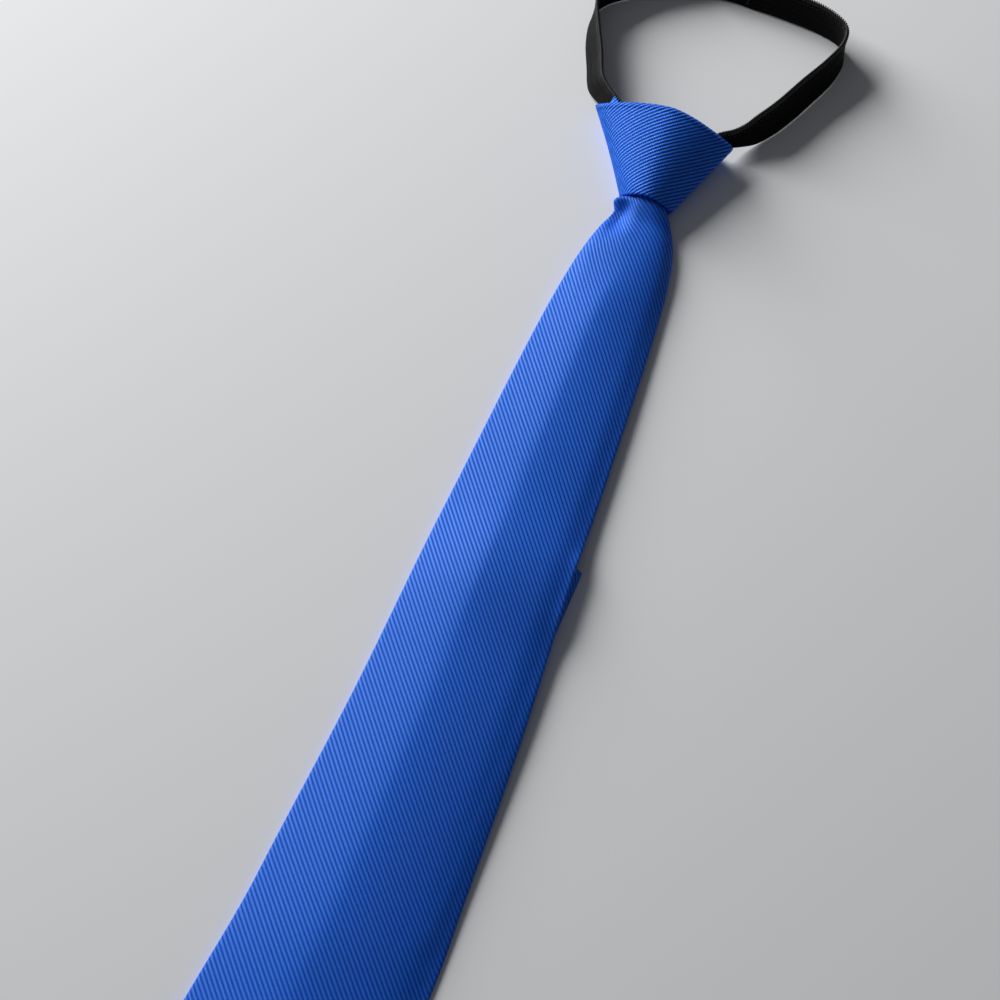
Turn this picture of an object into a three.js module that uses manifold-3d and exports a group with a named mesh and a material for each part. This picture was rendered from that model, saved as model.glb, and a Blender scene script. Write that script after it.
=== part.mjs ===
// A ready-made zipper tie lying face up on a flat surface: a blue blade that hangs from a hollow
// knot, and a neck loop made of the two halves of a black zip. The zip is closed behind the blade,
// parts at a slider inside the knot and ends in a narrow tail. Pulling the tail down closes more of
// the zip and draws the loop in.
//
// Millimetres. +Y runs from the blade's tip to the loop, +X to the right of the face and +Z up.
// All of it is worked out from the middle of the knot's lower edge on the surface, and the last
// lines move it so that the origin is the middle of its outline on the surface.

import * as THREE from 'three';
import { mergeVertices } from 'three/addons/utils/BufferGeometryUtils.js';
import Module from 'manifold-3d';

const wasm = await Module();
wasm.setup();

// Front blade
const bladeLength = 445;
const bladeWidth = 80;
const tipLength = 40;
const tipRound = 1.2;
const bladeNeckWidth = 39.4;
const bladePinchReach = 19;
const bladeThickness = 3.2;
const bladeEdge = 1.6;
const bladeArch = 1.6;
const bladeInKnot = 7;
const bladeFall = 10;

// Knot
const knotHeight = 36.6;
const knotTopWidth = 60.4;
const knotBottomWidth = 23;
const knotTopDepth = 21.3;
const throatCloth = 5;
const knotSideHeight = 6.4;
const knotBackset = 4;
const knotLean = 5.4;
const knotSkew = 3.1;
const knotBow = 1;
const knotWall = 1.6;

// Tail
const tailStart = 164;
const tailLength = 170;
const tailWidth = 39;
const tailTipLength = 19;
const tailThickness = 2.6;
const tailEdge = 1.2;
const tailWall = 1;
const tailSeam = 2.9;
const tailClimb = 14;
const tailOffset = 14.6;
const tailEndOffset = 8;

// Zip
const tapeWidth = 11;
const tapeThickness = 1;
const coilDiameter = 1.7;
const zipSewn = 18;
const zipSpread = 34;
const zipSettle = 12;
const closedPart = 0.8;
const lapLength = 20;
const lapEase = 12;
const napeBow = 0.8;
const napeLean = 118;

// Slider
const sliderLength = 12;
const sliderWidth = 9;
const sliderPlate = 1;
const sliderFoot = 12;
const postWidth = 1.4;
const postLength = 2.6;
const postRoom = 1;

// Neck loop
const loopWidth = 106.5;
const loopDepth = 79.6;
const loopCentre = -0.75;

// The air between neighbouring pieces, and between a coil and the surface
const gap = 0.3;
const footAir = 0.1;

// How finely the straps and coils are divided
const strapStep = 5;
const coilSides = 6;

const cloth = { color: 0x1f4fd8, roughness: 0.55, metalness: 0 };
const tape = { color: 0x0d0d0d, roughness: 0.85, metalness: 0 };
const nylon = { color: 0x101012, roughness: 0.45, metalness: 0 };
const enamel = { color: 0x141416, roughness: 0.35, metalness: 0.6 };

const clamp = THREE.MathUtils.clamp;
const lerp = THREE.MathUtils.lerp;
const smooth = THREE.MathUtils.smoothstep;

// Reads a column of a table of rows at a value of its key column, rounded off between the rows
function read(rows, key, column, at) {
  const last = rows.length - 1;
  if (at <= rows[0][key]) return rows[0][column];
  if (at >= rows[last][key]) return rows[last][column];
  const i = rows.findIndex((row) => row[key] > at);
  const share = (at - rows[i - 1][key]) / (rows[i][key] - rows[i - 1][key]);
  return lerp(rows[i - 1][column], rows[i][column], share * share * (3 - 2 * share));
}

// A list of evenly spaced numbers, both ends included
function steps(from, to, count) {
  return Array.from({ length: count + 1 }, (_, i) => lerp(from, to, i / count));
}

// Collects points and triangles, and turns them all over if the solid comes out inside out
class Solid {
  constructor() {
    this.points = [];
    this.faces = [];
  }

  addRing(ring) {
    const first = this.points.length;
    this.points.push(...ring);
    return ring.map((_, i) => first + i);
  }

  joinRings(a, b) {
    a.forEach((_, i) => {
      const k = (i + 1) % a.length;
      this.faces.push([a[i], a[k], b[k]], [a[i], b[k], b[i]]);
    });
  }

  // A cap between the first half of a ring and its second half, which runs back the other way
  capRing(ring, turned) {
    const half = ring.length / 2;
    for (let i = 0; i < half - 1; i++) {
      const far = ring.length - 1 - i;
      const pair = [[ring[i], ring[i + 1], ring[far - 1]], [ring[i], ring[far - 1], ring[far]]];
      pair.forEach((face) => this.faces.push(turned ? [...face].reverse() : face));
    }
  }

  geometry() {
    const volume = this.faces.reduce((sum, [a, b, c]) => {
      const [p, q, r] = [this.points[a], this.points[b], this.points[c]];
      return sum + p.dot(new THREE.Vector3().crossVectors(q, r)) / 6;
    }, 0);
    const faces = volume < 0 ? this.faces.map(([a, b, c]) => [a, c, b]) : this.faces;
    const geometry = new THREE.BufferGeometry().setFromPoints(this.points);
    geometry.setIndex(faces.flat());
    geometry.computeVertexNormals();
    return geometry;
  }
}

// A solid skinned over rings, closed at both ends
function loft(rings) {
  const solid = new Solid();
  const placed = rings.map((ring) => solid.addRing(ring));
  for (let i = 1; i < placed.length; i++) solid.joinRings(placed[i - 1], placed[i]);
  solid.capRing(placed[0], true);
  solid.capRing(placed[placed.length - 1], false);
  return solid.geometry();
}

// A sleeve: an outer skin with a pocket that opens at its first ring
function sleeve(outer, inner) {
  const solid = new Solid();
  const skin = outer.map((ring) => solid.addRing(ring));
  const pocket = inner.map((ring) => solid.addRing(ring));
  for (let i = 1; i < skin.length; i++) solid.joinRings(skin[i - 1], skin[i]);
  solid.capRing(skin[skin.length - 1], false);
  for (let i = 1; i < pocket.length; i++) solid.joinRings(pocket[i], pocket[i - 1]);
  solid.capRing(pocket[pocket.length - 1], true);
  solid.joinRings(pocket[0], skin[0]);
  return solid.geometry();
}

// A wall open at both ends: an outer skin and an inner skin joined at their rims
function tube(outer, inner) {
  const solid = new Solid();
  const skin = outer.map((ring) => solid.addRing(ring));
  const lining = inner.map((ring) => solid.addRing(ring));
  for (let i = 1; i < skin.length; i++) {
    solid.joinRings(skin[i - 1], skin[i]);
    solid.joinRings(lining[i], lining[i - 1]);
  }
  solid.joinRings(lining[0], skin[0]);
  solid.joinRings(skin[skin.length - 1], lining[lining.length - 1]);
  return solid.geometry();
}

// A section that lies across the tie: its upper line from left to right and its lower line back
function section(columns, y, sideways, upper, lower) {
  const top = columns.map((across) => new THREE.Vector3(sideways(across), y(across), upper(across)));
  const low = columns.map((across) => new THREE.Vector3(sideways(across), y(across), lower(across)));
  return [...top, ...low.reverse()];
}

// Heights of the zip's middle plane: on the surface, in the tail's mouth, in the knot's throat
// and between the slider's plates
const coilRadius = coilDiameter / 2;
const zipOnFloor = footAir + coilRadius;
const zipInTail = tailWall + gap + coilRadius;
const zipInThroat = knotWall + gap + coilRadius;
const zipInSlider = knotWall + gap + sliderPlate + gap + coilRadius;

// Half the closed zip's width beside its tape
const coilRoom = gap + coilDiameter + closedPart / 2;

// The knot's lower mouth is as deep as what passes through it: the zip, then the gathered cloth
const throatFloor = zipInSlider + coilRadius + gap;
const knotBottomDepth = throatFloor + throatCloth + 2 * gap + knotWall;

// The knot's form, as shares of its half width: how far its crest stands to the right at the top,
// and where its flat back begins to rise; then how full and how round the front's curve is
const knotCrest = 0.12;
const knotFlat = 0.72;
const knotFull = 1.8;
const knotRound = 0.9;

// What is left of each tape's width in the throat, where the zip fills this share of its room
const throatFill = 0.74;
const throatTape = throatFill * (knotBottomWidth / 2 - 1.5 * knotWall) - coilRoom;

// The knot leans to the left from its lower edge to its top
function knotMiddle(y) {
  return -knotLean * clamp(y / knotHeight, -1, 1);
}

function knotHalfWidth(share) {
  return lerp(knotBottomWidth, knotTopWidth, share) / 2;
}

// The middle line of the closed zip, from the tail's mouth up to the knot
function zipMiddle(y) {
  if (y > 0) return knotMiddle(y);
  if (y < -tailStart) return tailMiddle(-y - tailStart);
  return tailOffset * smooth(-y, 0, tailStart);
}

// Tail: a flat sleeve with a rolled crown, a pocket in its upper end and a pointed lower end
const pocketHalf = tapeWidth + coilRoom + 2 * gap;
const tailTopWidth = 2 * (pocketHalf + tailSeam);

function tailMiddle(down) {
  return lerp(tailOffset, tailEndOffset, clamp(down / tailLength, 0, 1));
}

function tailHalfWidth(down) {
  const shoulder = tailLength - tailTipLength;
  if (down <= shoulder) return lerp(tailTopWidth, tailWidth, down / shoulder) / 2;
  return Math.max(tipRound, (tailWidth / 2) * (1 - (down - shoulder) / tailTipLength));
}

// The mouth is thicker, because the zip's end lies between its two walls
const mouthThickness = zipInTail + coilRadius + gap + tailWall;

function tailDepth(down) {
  return lerp(mouthThickness, tailThickness, smooth(down, zipSewn, 2 * zipSewn));
}

const tailColumns = [-1, -0.93, -0.8, -0.4, 0, 0.4, 0.8, 0.93, 1];
const tailCrown = 8;

function tailRing(down) {
  const depth = tailDepth(down);
  const half = tailHalfWidth(down);
  return section(
    tailColumns,
    () => -tailStart - down,
    (across) => tailMiddle(down) + across * half,
    (across) => lerp(depth, tailEdge, Math.abs(across) ** tailCrown),
    () => 0,
  );
}

function pocketRing(down) {
  return section(
    tailColumns,
    () => -tailStart - down,
    (across) => tailMiddle(down) + across * pocketHalf,
    () => zipInTail + coilRadius + gap,
    () => tailWall,
  );
}

function buildTail() {
  const shoulder = tailLength - tailTipLength;
  const downs = [0, zipSewn / 2, zipSewn + 2 * gap, 1.5 * zipSewn, 2 * zipSewn, 0.45 * tailLength,
    0.68 * tailLength, shoulder, shoulder + tailTipLength / 2, tailLength];
  const pocket = [0, zipSewn / 2, zipSewn + 2 * gap];
  return sleeve(downs.map(tailRing), pocket.map(pocketRing));
}

// Knot: its section is a lens with a flat back and a raised front that meet at two soft edges.
// The front's top edge bows up and is skewed, so that the left corner stands higher
const knotColumns = [-1, -0.96, -0.88, -0.76, -0.6, -0.4, -0.2, 0, 0.2, 0.4, 0.6, 0.76, 0.88, 0.96, 1];

function knotSection(columns, share, inset, floor) {
  const half = knotHalfWidth(share) - 1.5 * inset;
  const depth = lerp(knotBottomDepth, knotTopDepth, share ** 0.8);
  const side = Math.max(floor, knotSideHeight * lerp(0.8, 1.1, share));
  const crest = knotCrest * share;
  const off = (across) => Math.abs(across - crest) / (across < crest ? 1 + crest : 1 - crest);
  const front = (across) => Math.max(0, 1 - off(across) ** knotFull) ** knotRound;
  const back = (across) => Math.max(0, (Math.abs(across) - knotFlat) / (1 - knotFlat)) ** 2;
  const rim = (across) => knotHeight * share - knotSkew * share * across * 0.5
    + knotBow * (1 - across * across) * (share - 0.5);
  const ring = section(
    columns,
    rim,
    (across) => knotMiddle(knotHeight * share) + across * half,
    (across) => lerp(side, depth - inset, front(across)),
    (across) => lerp(floor, side, back(across)),
  );
  // The back wall is cut shorter than the front at the lower mouth
  const backs = ring.slice(columns.length + 1, -1);
  backs.forEach((point, i) => {
    point.y += knotBackset * (1 - share) * (1 - columns[columns.length - 2 - i] ** 2);
  });
  return ring;
}

// Both lines of the knot's section share their end points, so the doubled ones go
function knotRing(share, inset) {
  const ring = knotSection(knotColumns, share, inset, inset);
  ring.splice(knotColumns.length, 1);
  ring.pop();
  return ring;
}

// Front blade. How it lies: 'down' is a share of its length from the knot, 'shift' moves its
// middle line as a share of its full half width, and 'ridge' sets its crest across it
const bladeLie = [
  { down: 0, shift: 0, ridge: 0.2 },
  { down: 0.04, shift: 0.035, ridge: 0.2 },
  { down: 0.12, shift: 0.03, ridge: 0.2 },
  { down: 0.36, shift: 0.04, ridge: 0.14 },
  { down: 0.54, shift: 0.07, ridge: 0.08 },
  { down: 0.7, shift: 0.05, ridge: 0 },
  { down: 0.85, shift: -0.03, ridge: -0.12 },
  { down: 1, shift: -0.12, ridge: -0.15 },
];

// Its thickness and edge, as shares of the plain blade's: the gathered cloth is fuller at the knot
const bladeBuild = [
  { down: 0, full: 1.85, edge: 1.4 },
  { down: 0.03, full: 1.6, edge: 1.3 },
  { down: 0.09, full: 1.3, edge: 1.1 },
  { down: 0.2, full: 1, edge: 1 },
  { down: 0.9, full: 1, edge: 1 },
  { down: 1, full: 0.7, edge: 0.9 },
];

const bladeColumns = [-1, -0.93, -0.8, -0.62, -0.42, -0.2, 0, 0.2, 0.42, 0.62, 0.8, 0.93, 1];
const bladeCrown = 2.4;

// The folds just below the knot on the left. 'down' and 'reach' are shares of the pinch's reach,
// 'depth' is a share of the blade's thickness, 'across' and 'spread' are shares of its half width
const pleat = { down: 0.42, reach: 0.18, depth: 0.7 };
const dimple = { down: 0.58, reach: 0.37, depth: 0.75, across: -0.62, spread: 0.25 };

// A swell of one that dies away on both sides of a place
function swell(at, place, reach) {
  return Math.exp(-(((at - place) / reach) ** 2));
}

function bladeHalfWidth(down) {
  const shoulder = bladeLength - tipLength;
  const throat = knotBottomWidth - 3 * (knotWall + gap);
  if (down > shoulder) {
    return Math.max(tipRound, (bladeWidth / 2) * (1 - (down - shoulder) / tipLength));
  }
  const straight = lerp(bladeNeckWidth, bladeWidth, Math.max(0, down) / shoulder);
  const pinch = (1 - throat / bladeNeckWidth) * Math.exp(-Math.max(0, down) / bladePinchReach);
  return (straight * (1 - pinch)) / 2;
}

// How far the tapes have spread to their full width where the zip comes down to the surface
const spreadAtFoot = 0.25;

// What the blade lies on at a place along it: the closed zip, and from the tail's mouth the tail
function bed(down) {
  const share = smooth(down, tailStart - tailClimb, tailStart - gap);
  const spread = lerp(spreadAtFoot, 1, smooth(down, 0, zipSpread));
  const zipHalf = lerp(throatTape, tapeWidth, spread) + coilRoom + gap;
  const zipTop = lerp(zipInThroat, zipOnFloor, smooth(down, zipSettle / 12, zipSettle)) + coilRadius;
  const past = down - tailStart;
  const fade = 1 - smooth(past, tailLength, tailLength + tailClimb);
  return {
    middle: lerp(zipMiddle(-down), tailMiddle(past), share),
    half: lerp(zipHalf, Math.max(tailHalfWidth(past), tailWidth / 4), share),
    top: lerp(zipTop, tailDepth(past), share) * fade,
  };
}

// Height of the blade's underside: it lies over its bed, falls to the surface beside it and
// arches a little between its edges
function bladeUnder(down, x, crest) {
  const { middle, half, top } = bed(down);
  const off = Math.abs(x - middle) - half;
  const over = (top + gap) * (1 - smooth(off, gap, bladeFall));
  const arch = bladeArch * (1 - crest * crest) * smooth(down, 0, zipSpread);
  return Math.max(over + 0.5 * arch, arch);
}

// In the knot's throat the gathered cloth fills the knot's own section above the zip
function neckRing(down) {
  const ring = knotSection(bladeColumns, -down / knotHeight, knotWall + 2 * gap, throatFloor);
  const corners = [ring[0], ring[bladeColumns.length - 1]];
  corners.forEach((point) => { point.z += bladeEdge / 4; });
  ring.forEach((point) => { point.y = -down; });
  return ring;
}

function bladeRing(down) {
  if (down <= 0) return neckRing(down);
  const share = down / bladeLength;
  const half = bladeHalfWidth(down);
  const middle = read(bladeLie, 'down', 'shift', share) * (bladeWidth / 2);
  const ridge = read(bladeLie, 'down', 'ridge', share);
  const full = bladeThickness * read(bladeBuild, 'down', 'full', share);
  const edge = bladeEdge * read(bladeBuild, 'down', 'edge', share);
  const drawn = pleat.depth * bladeThickness * swell(down / bladePinchReach, pleat.down, pleat.reach);
  const sideways = (across) => middle + across * half + drawn * Math.max(0, -across) ** 3;
  const crest = (across) => (across - ridge) / (across < ridge ? 1 + ridge : 1 - ridge);
  const lower = (across) => bladeUnder(down, sideways(across), crest(across));
  const dent = dimple.depth * bladeThickness
    * swell(down / bladePinchReach, dimple.down, dimple.reach);
  const upper = (across) => lower(across) + lerp(full, edge, Math.abs(crest(across)) ** bladeCrown)
    - dent * swell(across, dimple.across, dimple.spread);
  return section(bladeColumns, () => -down, sideways, upper, lower);
}

// The places of the blade's rings: close together in the pinch below the knot, over the tail's
// mouth, behind its tip and at the blade's own point
function bladeRows() {
  const shoulder = bladeLength - tipLength;
  const rows = [
    ...[-1, -0.5, 0].map((share) => share * bladeInKnot),
    ...[0.13, 0.26, 0.42, 0.58, 0.74, 0.95, 1.26, 1.7, 2.2, 3, 4].map((s) => s * bladePinchReach),
    ...[0.63, 0.79].map((share) => share * tailStart),
    ...[-1, -0.64, -0.3, 0].map((share) => tailStart + share * tailClimb),
    ...[1, 1.5, 2, 3].map((share) => tailStart + share * zipSewn),
    ...[0.58, 0.65, 0.72, 0.85].map((share) => share * bladeLength),
    ...[0, 1].map((share) => tailStart + tailLength + share * tailClimb),
    ...[0, 0.35, 0.7].map((share) => shoulder + share * tipLength),
  ];
  const inside = rows.filter((down) => down < bladeLength - bladeEdge).sort((a, b) => a - b);
  return [...inside.filter((down, i) => i === 0 || down - inside[i - 1] > bladeEdge), bladeLength];
}

function buildBlade() {
  return loft(bladeRows().map(bladeRing));
}

function buildKnot() {
  const shares = steps(0, 1, 8);
  return tube(shares.map((s) => knotRing(s, 0)), shares.map((s) => knotRing(s, knotWall)));
}

// Zip straps. Each strap is followed from the tail to the nape by its outer edge. 'lean' is the
// angle in degrees at which the strap rises from that edge towards its coil: flat in the closed
// zip, nearly upright round the loop and past upright behind the neck. 'width' is what its folds
// leave of the tape's width, and 'turn' is how far the strap has turned from square to the tie
// (0) to square to its own run (1)
function closedZip(side) {
  const end = sliderFoot + sliderLength;
  const row = (y, z, width, part) => ({
    x: zipMiddle(y) + side * (width + gap + coilDiameter + part / 2),
    y, z, lean: 0, width, turn: 0,
  });
  const post = postWidth + 2 * postRoom;
  return [
    row(-tailStart - zipSewn, zipInTail, tapeWidth, closedPart),
    row(-tailStart, zipInTail, tapeWidth, closedPart),
    row(-tailStart * 0.94, zipOnFloor, tapeWidth, closedPart),
    row(-tailStart * 0.6, zipOnFloor, tapeWidth, closedPart),
    row(-zipSpread, zipOnFloor, tapeWidth, closedPart),
    row(-zipSettle * 0.75, zipOnFloor, lerp(throatTape, tapeWidth, spreadAtFoot), closedPart),
    row(-zipSettle * 0.12, zipInThroat, throatTape, closedPart),
    row(sliderFoot * 0.5, zipInThroat, throatTape, closedPart),
    row(sliderFoot * 0.88, zipInSlider, tapeWidth * 0.6, closedPart),
    row(end - 2 * postLength, zipInSlider, tapeWidth * 0.7, closedPart),
    row(end - postLength, zipInSlider, tapeWidth * 0.7, post),
    row(end + 0.6 * postLength, zipInSlider, tapeWidth * 0.7, post + 2 * postRoom),
  ];
}

// In the knot's upper mouth 'out' is a share of its half width there, 'up' of its height, and
// 'lift', the height of the strap's lower edge, and 'room', the tape's width, of its side's height
const rightMouth = [
  { out: 0.79, up: 0.89, lift: 0.61, room: 1.03, lean: 36, turn: 0.5 },
  { out: 0.89, up: 1.045, lift: 0.58, room: 0.84, lean: 56, turn: 1 },
  { out: 1.036, up: 1.163, lift: 0.22, room: 1.02, lean: 66, turn: 1 },
];
const leftMouth = [
  { out: 0.69, up: 0.89, lift: 0.54, room: 1.16, lean: 40, turn: 0.5 },
  { out: 0.798, up: 1.045, lift: 0.58, room: 0.92, lean: 58, turn: 1 },
  { out: 0.957, up: 1.185, lift: 0.24, room: 1.16, lean: 64, turn: 1 },
];

// On the surface 'out' is a share of half the loop's width, 'up' a share of its depth above the
// knot and 'room' a share of the tape's width
const rightLoop = [
  { out: 0.6, up: 0.135, room: 0.82, lean: 70 },
  { out: 0.73, up: 0.26, room: 1, lean: 66 },
  { out: 0.876, up: 0.477, room: 1, lean: 65 },
  { out: 0.975, up: 0.66, room: 1, lean: 72 },
  { out: 0.995, up: 0.8, room: 1, lean: 84 },
  { out: 0.93, up: 0.9, room: 1, lean: 98 },
  { out: 0.77, up: 0.945, room: 1, lean: 110 },
  { out: 0.5, up: 0.972, room: 1, lean: 117 },
  { out: 0.22, up: 0.989, room: 1, lean: 118 },
];
const leftLoop = [
  { out: 0.74, up: 0.16, room: 0.95, lean: 62 },
  { out: 0.86, up: 0.31, room: 1, lean: 63 },
  { out: 0.95, up: 0.47, room: 1, lean: 66 },
  { out: 0.985, up: 0.61, room: 1, lean: 78 },
  { out: 0.95, up: 0.725, room: 1, lean: 94 },
  { out: 0.8, up: 0.82, room: 1, lean: 108 },
  { out: 0.55, up: 0.92, room: 1, lean: 115 },
  { out: 0.32, up: 0.985, room: 1, lean: 118 },
];

// How high a leaning strap's middle must be for its lower edge to lie on the surface
function standing(lean) {
  return (tapeThickness / 2) * Math.abs(Math.cos(THREE.MathUtils.degToRad(lean)));
}

// At the nape the straps lap over each other, the left one on the outside
const lapHalf = lapLength / 2;

function lapShift(side, x) {
  const apart = tapeThickness / 2 + coilRadius + 3 * gap;
  return side < 0 ? apart * (1 - smooth(Math.abs(x - loopCentre), lapHalf, lapHalf + lapEase)) : 0;
}

function strapRows(side) {
  const mouth = (side > 0 ? rightMouth : leftMouth).map(({ out, up, lift, room, ...pose }) => ({
    x: knotMiddle(knotHeight * up) + side * out * knotHalfWidth(Math.min(1, up)),
    y: knotHeight * up,
    z: lift * knotSideHeight + standing(pose.lean),
    width: room * knotSideHeight,
    ...pose,
  }));
  const loop = (side > 0 ? rightLoop : leftLoop).map(({ out, up, room, lean }) => {
    const x = loopCentre + side * out * (loopWidth / 2);
    const y = knotHeight + up * loopDepth + lapShift(side, x);
    return { x, y, z: standing(lean), width: room * tapeWidth, lean, turn: 1 };
  });
  const nape = [side * lapHalf, 0, -side * lapHalf].map((off) => ({
    x: loopCentre + off,
    y: knotHeight + loopDepth + lapShift(side, loopCentre) - napeBow * (off / lapHalf) ** 2,
    z: standing(napeLean),
    width: tapeWidth,
    lean: napeLean,
    turn: 1,
  }));
  return [...closedZip(side), ...mouth, ...loop, ...nape];
}

// Stations along a strap: a place on its outer edge, the way across it and the way its face looks
function strapStations(side, rows) {
  const curve = new THREE.CatmullRomCurve3(
    rows.map((row) => new THREE.Vector3(row.x, row.y, 0)), false, 'centripetal');
  const last = rows.length - 1;
  const station = (i, share) => {
    const a = rows[i];
    const b = rows[Math.min(i + 1, last)];
    const t = Math.min(1, (i + share) / last);
    const along = curve.getTangent(t).setZ((b.z - a.z) / Math.max(1, Math.hypot(b.x - a.x, b.y - a.y)));
    const place = curve.getPoint(t).setZ(lerp(a.z, b.z, share));
    const angle = THREE.MathUtils.degToRad(lerp(a.lean, b.lean, share));
    const turned = new THREE.Vector3(-along.y * side, along.x * side, 0).normalize();
    const inward = new THREE.Vector3(-side, 0, 0).lerp(turned, lerp(a.turn, b.turn, share));
    const across = inward.normalize().multiplyScalar(Math.cos(angle)).setZ(Math.sin(angle));
    const normal = new THREE.Vector3().crossVectors(along, across).normalize();
    return { place, across, normal, width: lerp(a.width, b.width, share) };
  };
  const stations = [];
  for (let i = 0; i < last; i++) {
    const span = Math.hypot(rows[i + 1].x - rows[i].x, rows[i + 1].y - rows[i].y);
    const parts = clamp(Math.round(span / strapStep), 1, 4);
    for (let k = 0; k < parts; k++) stations.push(station(i, k / parts));
  }
  stations.push(station(last, 0));
  return stations;
}

function buildTape(side) {
  const half = tapeThickness / 2;
  return loft(strapStations(side, strapRows(side)).map(({ place, across, normal, width }) => {
    const corner = (a, n) => place.clone().addScaledVector(across, a).addScaledVector(normal, n);
    return [corner(0, half), corner(width, half), corner(width, -half), corner(0, -half)];
  }));
}

// The left coil ends where its strap passes behind the right one
function buildCoil(side) {
  const lapStart = loopCentre - lapHalf - coilDiameter;
  const run = strapRows(side).filter((row) => side > 0 || row.y < knotHeight || row.x < lapStart);
  return loft(strapStations(side, run).map(({ place, across, normal, width }) => {
    const centre = width + gap + coilRadius;
    return steps(0, coilSides - 1, coilSides - 1).map((k) => {
      const angle = (k / coilSides) * 2 * Math.PI;
      return place.clone()
        .addScaledVector(across, centre + coilRadius * Math.cos(angle))
        .addScaledVector(normal, coilRadius * Math.sin(angle));
    });
  }));
}

// Joins overlapping closed solids into one
function join(geometries) {
  const solids = geometries.map((geometry) => {
    geometry.deleteAttribute('normal');
    geometry.deleteAttribute('uv');
    const merged = mergeVertices(geometry);
    return new wasm.Manifold(new wasm.Mesh({
      numProp: 3,
      vertProperties: new Float32Array(merged.attributes.position.array),
      triVerts: new Uint32Array(merged.index.array),
    }));
  });
  const whole = solids.reduce((sum, solid) => sum.add(solid)).getMesh();
  const geometry = new THREE.BufferGeometry();
  geometry.setAttribute('position', new THREE.BufferAttribute(whole.vertProperties, 3));
  geometry.setIndex(new THREE.BufferAttribute(whole.triVerts, 1));
  geometry.computeVertexNormals();
  return geometry;
}

// Slider: two shield-shaped plates joined by a post at the end where the zip parts
function buildSlider() {
  const half = sliderWidth / 2;
  const shield = new THREE.Shape([
    new THREE.Vector2(-0.6 * half, 0),
    new THREE.Vector2(0.6 * half, 0),
    new THREE.Vector2(half, 0.6 * sliderLength),
    new THREE.Vector2(0.7 * half, sliderLength),
    new THREE.Vector2(-0.7 * half, sliderLength),
    new THREE.Vector2(-half, 0.6 * sliderLength),
  ]);
  const clear = coilRadius + gap;
  const plate = (z) => new THREE.ExtrudeGeometry(shield, { depth: sliderPlate, bevelEnabled: false })
    .translate(0, 0, z);
  const post = new THREE.BoxGeometry(postWidth, postLength, 2 * clear + sliderPlate)
    .translate(0, sliderLength - postLength / 2, 0);
  return join([plate(-clear - sliderPlate), plate(clear), post])
    .rotateZ(Math.atan(knotLean / knotHeight))
    .translate(knotMiddle(sliderFoot), sliderFoot, zipInSlider);
}

function mesh(name, geometry, look) {
  const piece = new THREE.Mesh(geometry, new THREE.MeshStandardMaterial(look));
  piece.name = name;
  return piece;
}

const tie = new THREE.Group();
tie.add(
  mesh('front_blade', buildBlade(), cloth),
  mesh('knot', buildKnot(), cloth),
  mesh('tail_blade', buildTail(), cloth),
  mesh('zip_tape_left', buildTape(-1), tape),
  mesh('zip_tape_right', buildTape(1), tape),
  mesh('zip_coil_left', buildCoil(-1), nylon),
  mesh('zip_coil_right', buildCoil(1), nylon),
  mesh('zip_slider', buildSlider(), enamel),
);

const outline = new THREE.Box3().setFromObject(tie);
const middle = outline.getCenter(new THREE.Vector3());
tie.position.set(-middle.x, -middle.y, -outline.min.z);

export default tie;
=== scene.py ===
"""A zipper tie lying face up: ribbed blue cloth, a hollow knot and a neck loop of black zip.

Shapes are worked out in millimetres from the middle of the knot's lower edge on the surface,
with +Y towards the loop, +X to the right of the face and +Z up, and PLACE moves them into the
part's own frame.
"""
import math

import bmesh
import bpy
import numpy as np
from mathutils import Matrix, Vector


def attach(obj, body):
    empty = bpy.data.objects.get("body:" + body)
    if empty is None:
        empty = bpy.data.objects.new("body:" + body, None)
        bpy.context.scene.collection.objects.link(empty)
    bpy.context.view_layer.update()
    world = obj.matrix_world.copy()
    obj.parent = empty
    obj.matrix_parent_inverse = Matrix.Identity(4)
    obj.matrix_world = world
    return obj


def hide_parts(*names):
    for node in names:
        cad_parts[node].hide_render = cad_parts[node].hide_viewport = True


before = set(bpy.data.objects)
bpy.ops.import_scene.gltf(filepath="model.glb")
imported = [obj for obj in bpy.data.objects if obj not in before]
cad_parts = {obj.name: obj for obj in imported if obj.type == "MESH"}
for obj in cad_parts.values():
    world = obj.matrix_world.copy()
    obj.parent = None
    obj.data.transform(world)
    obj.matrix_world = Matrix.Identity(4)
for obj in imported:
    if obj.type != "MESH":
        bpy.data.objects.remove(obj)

MM = 0.001
PLACE = np.array([0.483, 160.472, 0.001])
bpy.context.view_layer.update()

# Camera
EYE = np.array([144.54, -549.79, 760.0])
GAZE = np.array([-0.1740, 0.4629, -0.8692])
LENS = 84.6
SENSOR = 36.0

scene = bpy.context.scene
camera = bpy.data.objects.new("camera", bpy.data.cameras.new("camera"))
camera.data.lens = LENS
camera.data.sensor_width = SENSOR
camera.data.sensor_fit = "HORIZONTAL"
camera.data.clip_start = 0.01
camera.location = (EYE + PLACE) * MM
camera.rotation_euler = Vector(GAZE).to_track_quat("-Z", "Y").to_euler()
scene.collection.objects.link(camera)
scene.camera = camera

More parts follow.
